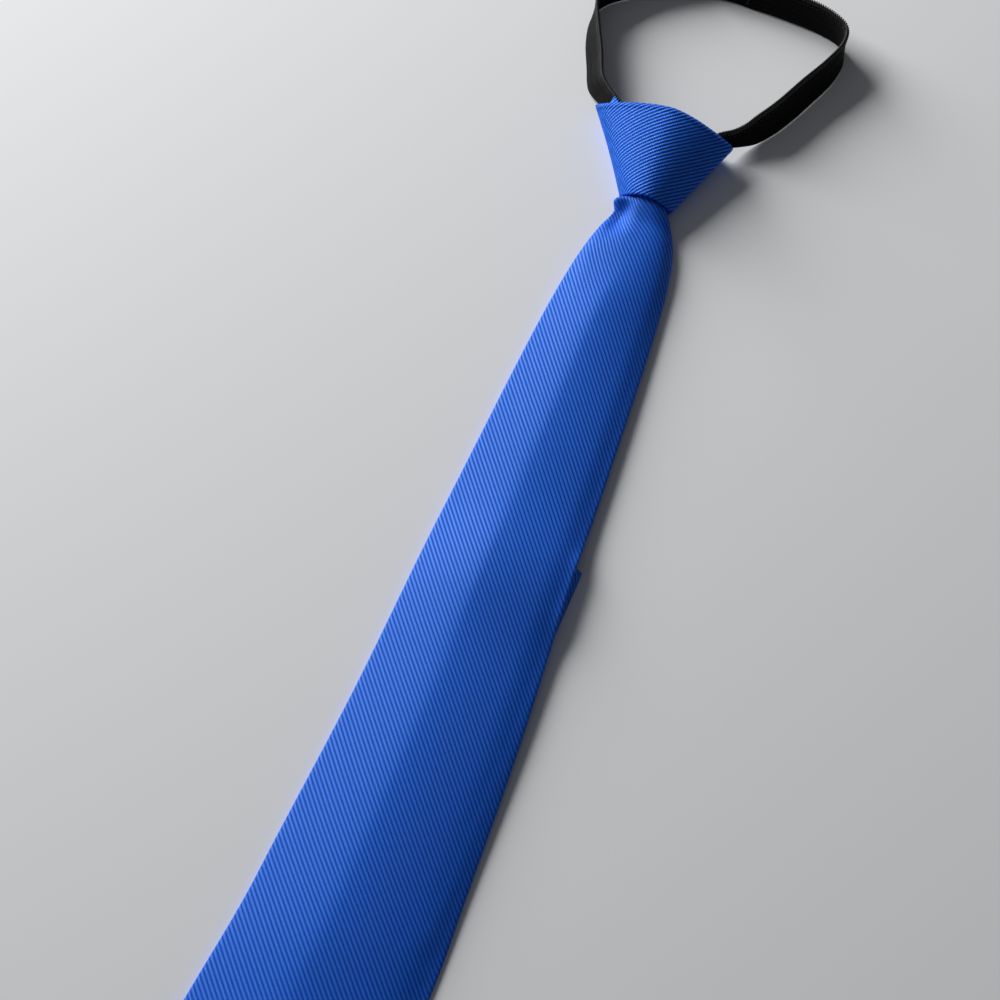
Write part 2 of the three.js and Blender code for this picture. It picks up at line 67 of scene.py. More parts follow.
# Sizes, as the solids have them
BLADE = dict(length=445.0, width=80.0, tip=40.0, point=1.2, neck=39.4, pinch=19.0, thick=3.2,
             edge=1.6, arch=1.6, in_knot=7.0, fall=10.0)
KNOT = dict(height=36.6, top=60.4, foot=23.0, top_depth=21.3, foot_depth=12.4, side=6.4,
            backset=4.0, lean=5.4, skew=3.1, bow=1.0, wall=1.6, crest=0.12, flat=0.72,
            full=1.8, round=0.9)
TAIL = dict(start=164.0, length=170.0, top=33.8, width=39.0, tip=19.0, thick=2.1, edge=1.2,
            wall=1.0, offset=14.6, end=8.0, climb=14.0, mouth=4.3)
ZIP = dict(tape=11.0, coil=1.7, sewn=18.0, spread=34.0, settle=12.0, part=0.8, lap=20.0,
           ease=12.0, bow=0.8, lean=118.0, thick=1.0)
SLIDER = dict(foot=12.0, length=12.0, post=1.4, post_length=2.6, room=1.0)
LOOP = dict(width=106.5, depth=79.6, centre=-0.75)
AIR = 0.3
CLOTH = 0.45
RADIUS = ZIP["coil"] / 2
ON_FLOOR = 0.1 + RADIUS
IN_TAIL = TAIL["wall"] + AIR + RADIUS
IN_THROAT = KNOT["wall"] + AIR + RADIUS
IN_SLIDER = KNOT["wall"] + 2 * AIR + 1.0 + RADIUS
THROAT_FLOOR = IN_SLIDER + RADIUS + AIR
NECK_INSET = KNOT["wall"] + 2 * AIR
COIL_ROOM = AIR + ZIP["coil"] + ZIP["part"] / 2
THROAT_TAPE = 0.74 * (KNOT["foot"] / 2 - 1.5 * KNOT["wall"]) - COIL_ROOM


def smooth(value, low, high):
    """A share from 0 to 1 between two values, eased at both ends: 3 t^2 - 2 t^3."""
    share = np.clip((np.asarray(value, float) - low) / (high - low), 0, 1)
    return share * share * (3 - 2 * share)


def mix(a, b, share):
    """The straight mix of a and b."""
    return a + (b - a) * share


def eased(at, places, values):
    """Reads a table of values at places, eased between each pair of rows."""
    places, values = np.asarray(places, float), np.asarray(values, float)
    at = np.clip(at, places[0], places[-1])
    i = np.clip(np.searchsorted(places, at, side="right") - 1, 0, len(places) - 2)
    return mix(values[i], values[i + 1], smooth((at - places[i]) / (places[i + 1] - places[i]), 0, 1))


def swell(value, place, reach):
    """A hump of one that dies away on both sides of a place: exp(-((v - place) / reach)^2)."""
    return np.exp(-(((value - place) / reach) ** 2))


# Meshes
def grid_faces(rows, columns, round_rows=False, round_columns=False):
    """Quads of a grid of points, and their corners' places in a grid one larger for the UVs."""
    i = np.arange(rows if round_rows else rows - 1)[:, None]
    j = np.arange(columns if round_columns else columns - 1)[None, :]
    corners = [(i, j), (i, j + 1), (i + 1, j + 1), (i + 1, j)]
    flat = [(a % rows) * columns + (b % columns) for a, b in corners]
    wide = [a * (columns + 1) + b for a, b in corners]
    return (np.stack(np.broadcast_arrays(*flat), -1).reshape(-1, 4),
            np.stack(np.broadcast_arrays(*wide), -1).reshape(-1, 4))


def grown(grid, round_rows, round_columns):
    """A UV grid with one more row and column: the first again where the surface closes."""
    rows = grid[:1] if round_rows else grid[-1:]
    grid = np.concatenate([grid, rows], 0)
    columns = grid[:, :1] if round_columns else grid[:, -1:]
    return np.concatenate([grid, columns], 1)


def surface(name, points, uv, round_rows=False, round_columns=False, turn=False, weld=False):
    """A mesh object over a grid of points (rows, columns, 3), with its cloth's own UV map."""
    rows, columns = points.shape[:2]
    faces, wide = grid_faces(rows, columns, round_rows, round_columns)
    flat_uv = grown(uv, round_rows, round_columns).reshape(-1, 2)
    if turn:
        faces, wide = faces[:, ::-1], wide[:, ::-1]
    mesh = bpy.data.meshes.new(name)
    mesh.from_pydata(((points.reshape(-1, 3) + PLACE) * MM).tolist(), [], faces.tolist())
    layer = mesh.uv_layers.new(name="cloth")
    layer.data.foreach_set("uv", flat_uv[wide.reshape(-1)].ravel())
    mesh.polygons.foreach_set("use_smooth", np.ones(len(faces), bool))
    if weld:
        work = bmesh.new()
        work.from_mesh(mesh)
        bmesh.ops.remove_doubles(work, verts=work.verts, dist=0.02 * MM)
        work.to_mesh(mesh)
        work.free()
    piece = bpy.data.objects.new(name, mesh)
    scene.collection.objects.link(piece)
    return piece


def thicken(piece, thickness):
    """Gives an open cloth surface its real thickness, inwards from its outer face."""
    wall = piece.modifiers.new("thickness", "SOLIDIFY")
    wall.thickness = thickness * MM
    wall.offset = -1
    wall.thickness_clamp = 1.5
    return piece


def length_along(points, axis):
    """Running length in millimetres along one axis of a grid of points, from its first line."""
    steps = np.linalg.norm(np.diff(points, axis=axis), axis=-1)
    start = np.zeros_like(np.take(steps, [0], axis))
    return np.concatenate([start, np.cumsum(steps, axis)], axis)


# Materials
def nodes_of(name):
    """A new material, its node tree and its main shader."""
    material = bpy.data.materials.new(name)
    material.use_nodes = True
    tree = material.node_tree
    return material, tree, tree.nodes["Principled BSDF"]


def maths(tree, operation, a, b=None, c=None):
    """One Math node; each input is a socket or a number."""
    node = tree.nodes.new("ShaderNodeMath")
    node.operation = operation
    for socket, value in zip(node.inputs, (a, b, c)):
        if value is None:
            continue
        if isinstance(value, (int, float)):
            socket.default_value = value
        else:
            tree.links.new(value, socket)
    return node.outputs[0]


def ramp(tree, value, stops):
    """A colour ramp over (place, colour) stops."""
    node = tree.nodes.new("ShaderNodeValToRGB")
    while len(node.color_ramp.elements) < len(stops):
        node.color_ramp.elements.new(0.5)
    for element, (place, colour) in zip(node.color_ramp.elements, stops):
        element.position = place
        element.color = (*colour, 1)
    tree.links.new(value, node.inputs[0])
    return node.outputs[0]


def noise(tree, vector, scale, detail, rough=0.5):
    """Cloudy noise between 0 and 1 over a place."""
    node = tree.nodes.new("ShaderNodeTexNoise")
    node.inputs["Scale"].default_value = scale
    node.inputs["Detail"].default_value = detail
    node.inputs["Roughness"].default_value = rough
    tree.links.new(vector, node.inputs["Vector"])
    return node.outputs["Fac"]


def bump(tree, bsdf, height, distance):
    """Relief from a height between 0 and 1, 'distance' metres deep."""
    node = tree.nodes.new("ShaderNodeBump")
    node.inputs["Distance"].default_value = distance
    node.inputs["Strength"].default_value = 1.0
    tree.links.new(height, node.inputs["Height"])
    tree.links.new(node.outputs[0], bsdf.inputs["Normal"])


RIB = 1.49
RIB_ON_KNOT = 1.41
RIB_FULLNESS = 0.75
RIB_SHIFT = 0.11
RIB_HEIGHT = 0.16
YARN = 0.88
# The two colours after the cloth's own blue are painted light: painted shade in the rib grooves and a
# painted highlight on the rib crowns.
CLOTH_BLUE = (0.003, 0.094, 0.70)
GROOVE_SHADE_BLUE = (0.0, 0.0, 0.16)
RIDGE_HIGHLIGHT_BLUE = (0.040, 0.25, 1.05)


def ribbed_cloth(name, relief, contrast):
    """Satin-faced twill: rounded diagonal ribs a fixed pitch apart, each built of short yarns.

    U counts millimetres square to the ribs and V millimetres along them. A rib's height is
    (1/2 + cos / 2)^0.75 across it. It is glossier than the grooves, and its colour holds painted
    light: painted shade in the grooves and a painted highlight on the crowns, as strong as
    'contrast' gives, while 'relief' sets how deep the bump is; the knot gets more of both.
    """
    material, tree, bsdf = nodes_of(name)
    uv = tree.nodes.new("ShaderNodeUVMap")
    uv.uv_map = "cloth"
    split = tree.nodes.new("ShaderNodeSeparateXYZ")
    tree.links.new(uv.outputs[0], split.inputs[0])
    u, v = split.outputs[0], split.outputs[1]
    wobble = maths(tree, "MULTIPLY_ADD", noise(tree, uv.outputs[0], 0.8, 2.0), 0.22, u)
    phase = maths(tree, "DIVIDE", wobble, RIB)
    rib = maths(tree, "MULTIPLY_ADD",
                maths(tree, "COSINE", maths(tree, "MULTIPLY", phase, 2 * math.pi)), 0.5, 0.5)
    rib = maths(tree, "POWER", rib, RIB_FULLNESS)
    # Yarns cross each rib on a slant, half a step apart from one rib to the next
    step = maths(tree, "ADD", maths(tree, "DIVIDE", v, YARN),
                 maths(tree, "MULTIPLY", maths(tree, "ADD", phase, 0.5), 0.5))
    yarn = maths(tree, "MULTIPLY_ADD",
                 maths(tree, "COSINE", maths(tree, "MULTIPLY", step, 2 * math.pi)), 0.5, 0.5)
    grain = noise(tree, uv.outputs[0], 2.8, 3.0, 0.8)
    height = maths(tree, "ADD", rib, maths(tree, "MULTIPLY", yarn, 0.30))
    height = maths(tree, "ADD", height, maths(tree, "MULTIPLY", grain, 0.9))
    # The rib and yarn parts of this tone are painted light, shade in the grooves and highlight on the
    # crowns; the grain part is random tone.
    tone = maths(tree, "ADD", maths(tree, "MULTIPLY", rib, 0.66),
                 maths(tree, "ADD", maths(tree, "MULTIPLY", yarn, 0.12),
                       maths(tree, "MULTIPLY", grain, 0.34)))
    groove, ridge = (tuple(mix(np.array(CLOTH_BLUE), np.array(end), contrast).tolist())
                     for end in (GROOVE_SHADE_BLUE, RIDGE_HIGHLIGHT_BLUE))
    colour = ramp(tree, tone, [(0.12, groove), (0.5, CLOTH_BLUE), (0.88, ridge)])
    tree.links.new(colour, bsdf.inputs["Base Color"])
    rough = maths(tree, "ADD", maths(tree, "MULTIPLY_ADD", grain, 0.10, 0.74),
                  maths(tree, "MULTIPLY", rib, -0.52))
    tree.links.new(rough, bsdf.inputs["Roughness"])
    bsdf.inputs["Specular IOR Level"].default_value = 0.36
    bsdf.inputs["Sheen Weight"].default_value = 0.015
    bsdf.inputs["Sheen Roughness"].default_value = 0.45
    bsdf.inputs["Sheen Tint"].default_value = (0.35, 0.55, 1.0, 1.0)
    bsdf.inputs["Specular Tint"].default_value = (0.4, 0.8, 1.0, 1.0)
    bump(tree, bsdf, height, relief)
    return material


WEAVE = dict(column=1.1, weft=0.62, slant=0.8, warp=0.55)


def woven_tape(name):
    """Matt black zip tape: a fine herringbone, whose wefts slant one way and the other in columns,
    crossed by warp threads, with a soft fuzz of broken fibres."""
    material, tree, bsdf = nodes_of(name)
    uv = tree.nodes.new("ShaderNodeUVMap")
    uv.uv_map = "cloth"
    split = tree.nodes.new("ShaderNodeSeparateXYZ")
    tree.links.new(uv.outputs[0], split.inputs[0])
    u, v = split.outputs[0], split.outputs[1]
    fold = maths(tree, "PINGPONG", u, WEAVE["column"])
    slant = maths(tree, "ADD", maths(tree, "DIVIDE", v, WEAVE["weft"]),
                  maths(tree, "DIVIDE", fold, WEAVE["slant"]))
    weave = maths(tree, "MULTIPLY_ADD",
                  maths(tree, "COSINE", maths(tree, "MULTIPLY", slant, 2 * math.pi)), 0.5, 0.5)
    warp = maths(tree, "MULTIPLY_ADD",
                 maths(tree, "COSINE", maths(tree, "MULTIPLY", u, 2 * math.pi / WEAVE["warp"])),
                 0.5, 0.5)
    grain = noise(tree, uv.outputs[0], 2.6, 4.0, 0.7)
    height = maths(tree, "ADD", maths(tree, "MULTIPLY", weave, 0.6),
                   maths(tree, "ADD", maths(tree, "MULTIPLY", warp, 0.25), grain))
    tone = maths(tree, "MULTIPLY_ADD", weave, 0.25, maths(tree, "MULTIPLY", grain, 0.75))
    colour = ramp(tree, tone, [(0.2, (0.0006, 0.0006, 0.0007)), (0.55, (0.0022, 0.0022, 0.0024)),
                               (0.85, (0.009, 0.009, 0.0095))])
    tree.links.new(colour, bsdf.inputs["Base Color"])
    rough = maths(tree, "MULTIPLY_ADD", grain, 0.2, 0.66)
    tree.links.new(rough, bsdf.inputs["Roughness"])
    bsdf.inputs["Specular IOR Level"].default_value = 0.12
    bsdf.inputs["Sheen Weight"].default_value = 0.012
    bsdf.inputs["Sheen Roughness"].default_value = 0.5
    bump(tree, bsdf, height, 0.00016)
    return material


def moulded(name, dark, light, rough, scale, metal=0.0):
    """Nylon, thread or enamel: two near tones clouded together, with a faint uneven surface."""
    material, tree, bsdf = nodes_of(name)
    place = tree.nodes.new("ShaderNodeTexCoord").outputs["Object"]
    cloud = noise(tree, place, scale, 3.0, 0.6)
    tree.links.new(ramp(tree, cloud, [(0.3, dark), (0.7, light)]), bsdf.inputs["Base Color"])
    tree.links.new(maths(tree, "MULTIPLY_ADD", cloud, 0.2, rough - 0.1), bsdf.inputs["Roughness"])
    bsdf.inputs["Metallic"].default_value = metal
    bump(tree, bsdf, cloud, 0.00003)
    return material


# The contrast number sets the painted shade in the rib grooves and the painted highlight on the crowns; the
# knot's cloth gets more than the blade's.
tie_cloth = ribbed_cloth("tie_cloth", 0.00013, 0.60)
knot_cloth = ribbed_cloth("knot_cloth", 0.00018, 0.80)
zip_tape = woven_tape("zip_tape")
zip_coil = moulded("zip_coil", (0.006, 0.006, 0.0065), (0.016, 0.016, 0.017), 0.42, 900)
zip_enamel = moulded("zip_slider", (0.01, 0.01, 0.011), (0.03, 0.03, 0.032), 0.34, 500, 0.6)
blue_thread = moulded("blue_thread", (0.01, 0.07, 0.40), (0.02, 0.12, 0.58), 0.5, 1500)
black_thread = moulded("black_thread", (0.004, 0.004, 0.004), (0.02, 0.02, 0.021), 0.6, 1500)


def dress(piece, material, slot, *nodes):
    """Puts a finish on a piece, hides the solids it stands for, and rides it. 'slot' is not used."""
    piece.data.materials.clear()
    piece.data.materials.append(material)
    if nodes:
        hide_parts(*nodes)
    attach(piece, "root")
    return piece


# Knot
def knot_middle(y):
    """The knot leans to the left from its lower edge to its top."""
    return -KNOT["lean"] * np.clip(np.asarray(y) / KNOT["height"], -1, 1)


def knot_half(share):
    """Half the knot's width, which grows evenly from its lower edge to its top."""
    return mix(KNOT["foot"], KNOT["top"], share) / 2


def knot_lines(across, share, inset, floor):
    """The knot's section at a share of its height: x, y, front height and back height.

    The front rises to depth * (1 - off^full)^round, where off is the distance from the crest
    as a share of that side's width, and less full on the left towards the top, where the right
    side stands up in a short fold; the back is flat and rises by a square beyond 'flat'.
    """
    half = knot_half(share) - 1.5 * inset
    depth = mix(KNOT["foot_depth"], KNOT["top_depth"], share ** 0.8)
    side = np.maximum(floor, KNOT["side"] * mix(0.8, 1.1, share))
    crest = KNOT["crest"] * share
    full = np.where(across < crest, mix(KNOT["full"], 1.5, share), KNOT["full"])
    off = np.abs(across - crest) / np.where(across < crest, 1 + crest, 1 - crest)
    front = np.maximum(0, 1 - off ** full) ** KNOT["round"]
    back = np.maximum(0, (np.abs(across) - KNOT["flat"]) / (1 - KNOT["flat"])) ** 2
    y = (KNOT["height"] * share - KNOT["skew"] * share * across * 0.5
         + KNOT["bow"] * (1 - across * across) * (share - 0.5))
    x = knot_middle(KNOT["height"] * share) + across * half
    fold = share ** 2 * np.clip((across - 0.2) / 0.8, 0, 1) ** 3
    return x, y + 0.8 * fold, mix(side, depth - inset, front) + 1.5 * fold, mix(floor, side, back)


def knot_skin(turn, share, inset):
    """Points of the knot's skin. 'turn' runs from 0 at the left edge over the front to 1 at the
    right edge and on over the back to 2."""
    across = np.where(turn <= 1, -np.cos(np.pi * turn), np.cos(np.pi * (turn - 1)))
    front = turn <= 1
    x, y, high, low = knot_lines(across, share, inset, inset)
    y = y + np.where(front, 0, KNOT["backset"] * (1 - share) * (1 - across ** 2))
    return np.stack(np.broadcast_arrays(x, y, np.where(front, high, low)), -1)


# How steeply the ribs rise across the knot, and the way that its sloping face looks
RIB_RISE = ([-24, -18, -13, -8, -2, 4, 10, 16, 26], [1.1, 0.92, 0.78, 0.6, 0.44, 0.32, 0.27, 0.29, 0.31])
VIEW_TURN = math.radians(20.6)
VIEW_TILT = math.radians(60.4)
BEND = 12
BEND_REACH = 1.5


def fan_of_ribs(points, from_left):
    """Rib coordinates on the knot: the ribs are nearly level on the right, rise more steeply
    towards the left and run down along the left fold, where BEND exp(-from_left / BEND_REACH)
    bends them.
    Heights are taken square to the knot's sloping face, so that the pitch stays even."""
    x = points[..., 0] * math.cos(VIEW_TURN) + points[..., 1] * math.sin(VIEW_TURN)
    y = -points[..., 0] * math.sin(VIEW_TURN) + points[..., 1] * math.cos(VIEW_TURN)
    face = y * math.sin(VIEW_TILT) + points[..., 2] * math.cos(VIEW_TILT)
    places = np.linspace(-60, 60, 241)
    slope = np.interp(places, *RIB_RISE)
    climb = np.concatenate([[0], np.cumsum((slope[1:] + slope[:-1]) / 2 * np.diff(places))])
    bent = BEND * np.exp(-np.maximum(from_left, 0) / BEND_REACH)
    return (face - np.interp(x, places, climb) + bent) * RIB / RIB_ON_KNOT, x


def rounded(points, reach):
    """Softens closed rings of points: each point becomes the mean of its neighbours, weighed by
    exp(-(distance along the ring / reach)^2) on rings of even spacing."""
    count = points.shape[1]
    step = np.linalg.norm(points - np.roll(points, 1, 1), axis=-1).mean()
    away = np.minimum(np.arange(count), count - np.arange(count)) * step
    weights = np.exp(-(away / reach) ** 2)
    weights /= weights.sum()
    turned = np.fft.ifft(np.fft.fft(points, axis=1) * np.fft.fft(weights)[None, :, None], axis=1)
    return turned.real


def even_rings(points, count):
    """Moves the points of closed rings to even distances round each ring."""
    closed = np.concatenate([points, points[:, :1]], 1)
    run = length_along(closed, 1)
    out = np.empty((len(points), count, 3))
    for i, (ring, place) in enumerate(zip(closed, run)):
        even = np.linspace(0, place[-1], count, endpoint=False)
        out[i] = np.stack([np.interp(even, place, ring[:, k]) for k in range(3)], 1)
    return out


AROUND = 400
SIDE_ROUND = 1.3
RIM = 1.5


def build_knot():
    """A hollow wrap: the outer skin, rolled over both rims onto the inner skin, with its two side
    folds rounded. Within RIM of the top the cloth turns in on a quarter circle, with a shallow
    crease below the roll. The ribs stand out of the skin as (1/2 + cos / 2)^0.75 across each, and
    flatten where they run down along the left fold."""
    turn = np.linspace(0, 2, 241)[:-1]
    up = np.concatenate([np.linspace(0, 0.88, 88), np.linspace(0.885, 1, 22)])
    back = np.linspace(1, 0, 24)
    roll = np.linspace(0, np.pi, 9)[1:-1]
    share = np.concatenate([up, np.ones(7), back, np.zeros(7)])
    inward = np.concatenate([0 * up, (1 - np.cos(roll)) / 2, 0 * back + 1, (1 + np.cos(roll)) / 2])
    push = np.concatenate([0 * up, np.sin(roll), 0 * back, -np.sin(roll)])
    outer, inner = (rounded(even_rings(knot_skin(turn[None], share[:, None], inset), AROUND), SIDE_ROUND)
                    for inset in (0.0, KNOT["wall"]))
    for skin in (outer, inner):
        out = np.clip((knot_middle(skin[..., 1]) - skin[..., 0]) / knot_half(share[:, None]), 0, 1)
        skin[..., 0] += 0.7 * np.sin(np.pi * share)[:, None] * out ** 3
    points = mix(outer, inner, inward[:, None, None])
    points[..., 1] += push[:, None] * KNOT["wall"] / 2
    lift = outer - inner
    lift /= np.maximum(np.linalg.norm(lift, axis=-1, keepdims=True), 1e-6)
    below = (1 - share) * KNOT["height"]
    turned_in = 1 - np.sqrt(1 - np.clip(1 - below / RIM, 0, 1) ** 2)
    rim = 0.2 * swell(below, 1.3, 0.8) - 0.12 * swell(below, 2.6, 0.8) - 0.9 * turned_in
    rim = rim * (1 - inward)
    corner = np.abs(points[..., 0] - knot_middle(points[..., 1])) / knot_half(share)[:, None]
    points += lift * (rim[:, None] * (1 - smooth(corner, 0.9, 0.99)))[..., None]
    left_fold = knot_middle(share * KNOT["height"]) - knot_half(share)
    from_left = points[..., 0] - left_fold[:, None]
    u, v = fan_of_ribs(points, from_left)
    round_it = length_along(points, 1)[:len(up), -1].mean() * MM
    rib = (0.5 + 0.5 * np.cos(2 * np.pi * (u + RIB_SHIFT) / RIB)) ** RIB_FULLNESS
    relief = RIB_HEIGHT * smooth(from_left, 1.2, 3.8) * (1 - inward)[:, None]
    points += lift * (relief * (rib - 0.5))[..., None]
    knot = surface("knot_wrap", points, np.stack([u, v], -1), round_rows=True, round_columns=True)
    add_to(knot, build_tab())
    dress(knot, knot_cloth, "tie_cloth", "knot")
    return knot


def build_tab():
    """The corner of a folded end of cloth behind the rim: a flat oval section that narrows from
    its root to a blunt point, (1 - t^1.5) as wide at a share t of the way."""
    t = np.concatenate([np.linspace(0, 0.97, 13), [1.0]])[:, None]
    angle = np.linspace(0, 2 * np.pi, 20, endpoint=False)[None]
    left = mix(np.array([-30.0, 35.0, 9.2]), np.array([-28.4, 41.6, 11.0]), t[..., None])
    right = mix(np.array([-21.8, 35.6, 12.2]), np.array([-27.6, 41.8, 11.3]), t[..., None] ** 1.1)
    middle, half = (left + right) / 2, (right - left) / 2
    up = np.array([0.25, 0.1, 1.0])
    points = (middle + half * np.cos(angle)[..., None]
              + up * (0.55 * (1 - 0.5 * t) * np.sin(angle))[..., None])
    u, v = fan_of_ribs(points, points[..., 0] + 60)
    tab = surface("knot_tab", points, np.stack([u, v], -1), round_columns=True)
    close_ends(tab)
    return tab


def add_to(piece, extra):
    """Makes a second mesh part of a piece's own mesh."""
    work = bmesh.new()
    work.from_mesh(piece.data)
    work.from_mesh(extra.data)
    work.to_mesh(piece.data)
    work.free()
    bpy.data.objects.remove(extra)


# Blade and tail
def wrapped_path(front, back, fold):
    """One line round a flat sleeve, from the under flap round the left fold over the front and
    the right fold to the over flap. Gives the place across (-1 to 1), the angle of the fold
    (90 degrees on the front, -90 on the back) and which lines belong to the under flap."""
    under = np.linspace(0.1, -1, back)
    left = np.linspace(-np.pi / 2, np.pi / 2, fold)[1:-1]
    face = np.linspace(-1, 1, front)
    over = np.linspace(1, -0.06, back)
    flat = np.concatenate([under, -np.ones(fold - 2), face, np.ones(fold - 2), over])
    angle = np.concatenate([np.full(back, -np.pi / 2), left, np.full(front, np.pi / 2),
                            left[::-1], np.full(back, -np.pi / 2)])
    flap = np.concatenate([np.ones(back), np.zeros(len(flat) - back)])
    return flat, angle, flap


def across_of(flat, angle, half, radius):
    """Where a line of the path lies across the sleeve, with a round fold at each edge."""
    turn = 1 - np.minimum(radius / half, 0.5)
    return flat * turn + np.sign(flat) * (np.abs(flat) >= 1) * (1 - turn) * np.cos(angle)


def tail_middle(down):
    """The tail runs straight from its mouth, to the right of the middle, to its point."""
    return mix(TAIL["offset"], TAIL["end"], np.clip(down / TAIL["length"], 0, 1))


def tail_half(down):
    """Half the tail's width: an even taper, and the point."""
    shoulder = TAIL["length"] - TAIL["tip"]
    straight = mix(TAIL["top"], TAIL["width"], np.clip(down / shoulder, 0, 1)) / 2
    point = np.maximum(BLADE["point"], TAIL["width"] / 2 * (1 - (down - shoulder) / TAIL["tip"]))
    return np.where(down <= shoulder, straight, point)


def tail_depth(down):
    """The tail is thick over the zip's sewn end and thins below it."""
    return mix(TAIL["mouth"], TAIL["thick"], smooth(down, ZIP["sewn"], 2 * ZIP["sewn"]))


def zip_middle(y):
    """Where the closed zip's middle lies: along the knot's, and below it over to the tail's."""
    y = np.asarray(y, float)
    below = TAIL["offset"] * smooth(-y, 0, TAIL["start"])
    return np.where(y > 0, knot_middle(y),
                    np.where(y < -TAIL["start"], tail_middle(-y - TAIL["start"]), below))


# Tables over the blade's share: where it lies, its crest, and its thickness in the middle and
# at its edges
LIE = ([0, 0.04, 0.12, 0.36, 0.54, 0.7, 0.85, 1], [0, 0.035, 0.03, 0.04, 0.07, 0.05, -0.03, -0.12])
RIDGE = ([0, 0.04, 0.12, 0.36, 0.54, 0.7, 0.85, 1], [0.2, 0.2, 0.2, 0.14, 0.08, 0, -0.12, -0.15])
FULL = ([0, 0.03, 0.09, 0.2, 0.9, 1], [1.85, 1.6, 1.3, 1, 1, 0.7])
EDGE = ([0, 0.03, 0.09, 0.2, 0.9, 1], [1.4, 1.3, 1.1, 1, 1, 0.9])


def blade_half(down):
    """Half width: an even taper, pinched in by exp(-down / pinch) at the knot, and the point."""
    shoulder = BLADE["length"] - BLADE["tip"]
    throat = KNOT["foot"] - 3 * (KNOT["wall"] + AIR)
    straight = mix(BLADE["neck"], BLADE["width"], np.clip(down, 0, shoulder) / shoulder)
    pinch = (1 - throat / BLADE["neck"]) * np.exp(-np.maximum(0, down) / BLADE["pinch"])
    point = BLADE["width"] / 2 * (1 - (down - shoulder) / BLADE["tip"])
    return np.where(down > shoulder, np.maximum(BLADE["point"], point), straight * (1 - pinch) / 2)


def bed(down):
    """What the blade lies on: the closed zip, and below the tail's mouth the tail."""
    share = smooth(down, TAIL["start"] - TAIL["climb"], TAIL["start"] - AIR)
    spread = mix(0.25, 1, smooth(down, 0, ZIP["spread"]))
    zip_half = mix(THROAT_TAPE, ZIP["tape"], spread) + COIL_ROOM + AIR
    settle = smooth(down, ZIP["settle"] / 12, ZIP["settle"])
    zip_top = mix(IN_THROAT, ON_FLOOR, settle) + RADIUS
    past = down - TAIL["start"]
    fade = 1 - smooth(past, TAIL["length"], TAIL["length"] + TAIL["climb"])
    return (mix(zip_middle(-down), tail_middle(past), share),
            mix(zip_half, np.maximum(tail_half(past), TAIL["width"] / 4), share),
            mix(zip_top, tail_depth(past), share) * fade)


def blade_lines(across, down):
    """The blade's section: x, underside and face. It lies over its bed, falls to the surface
    beside it, arches between its edges and has its crest to one side."""
    share = down / BLADE["length"]
    half = blade_half(down)
    middle = eased(share, *LIE) * BLADE["width"] / 2
    ridge = eased(share, *RIDGE)
    full = BLADE["thick"] * eased(share, *FULL)
    edge = BLADE["edge"] * eased(share, *EDGE)
    drawn = 0.7 * BLADE["thick"] * swell(down / BLADE["pinch"], 0.42, 0.18)
    x = middle + across * half + drawn * np.maximum(0, -across) ** 3
    crest = (across - ridge) / np.where(across < ridge, 1 + ridge, 1 - ridge)
    bed_middle, bed_half, bed_top = bed(down)
    off = np.abs(x - bed_middle) - bed_half
    over = (bed_top + AIR) * (1 - smooth(off, AIR, BLADE["fall"]))
    arch = BLADE["arch"] * (1 - crest * crest) * smooth(down, 0, ZIP["spread"])
    lower = np.maximum(over + 0.5 * arch, arch)
    dent = 0.75 * BLADE["thick"] * swell(down / BLADE["pinch"], 0.58, 0.37)
    dent = dent * swell(across, -0.62, 0.25)
    upper = lower + mix(full, edge, np.clip(np.abs(crest), 0, 1) ** 2.4) - dent
    return x, lower, upper


def neck_lines(across, down):
    """In the throat the gathered blade fills the knot's own section above the zip."""
    x, _, high, low = knot_lines(across, -down / KNOT["height"], NECK_INSET, THROAT_FLOOR)
    corner = np.abs(across) ** 12 * BLADE["edge"] / 4
    return x, low, high + corner


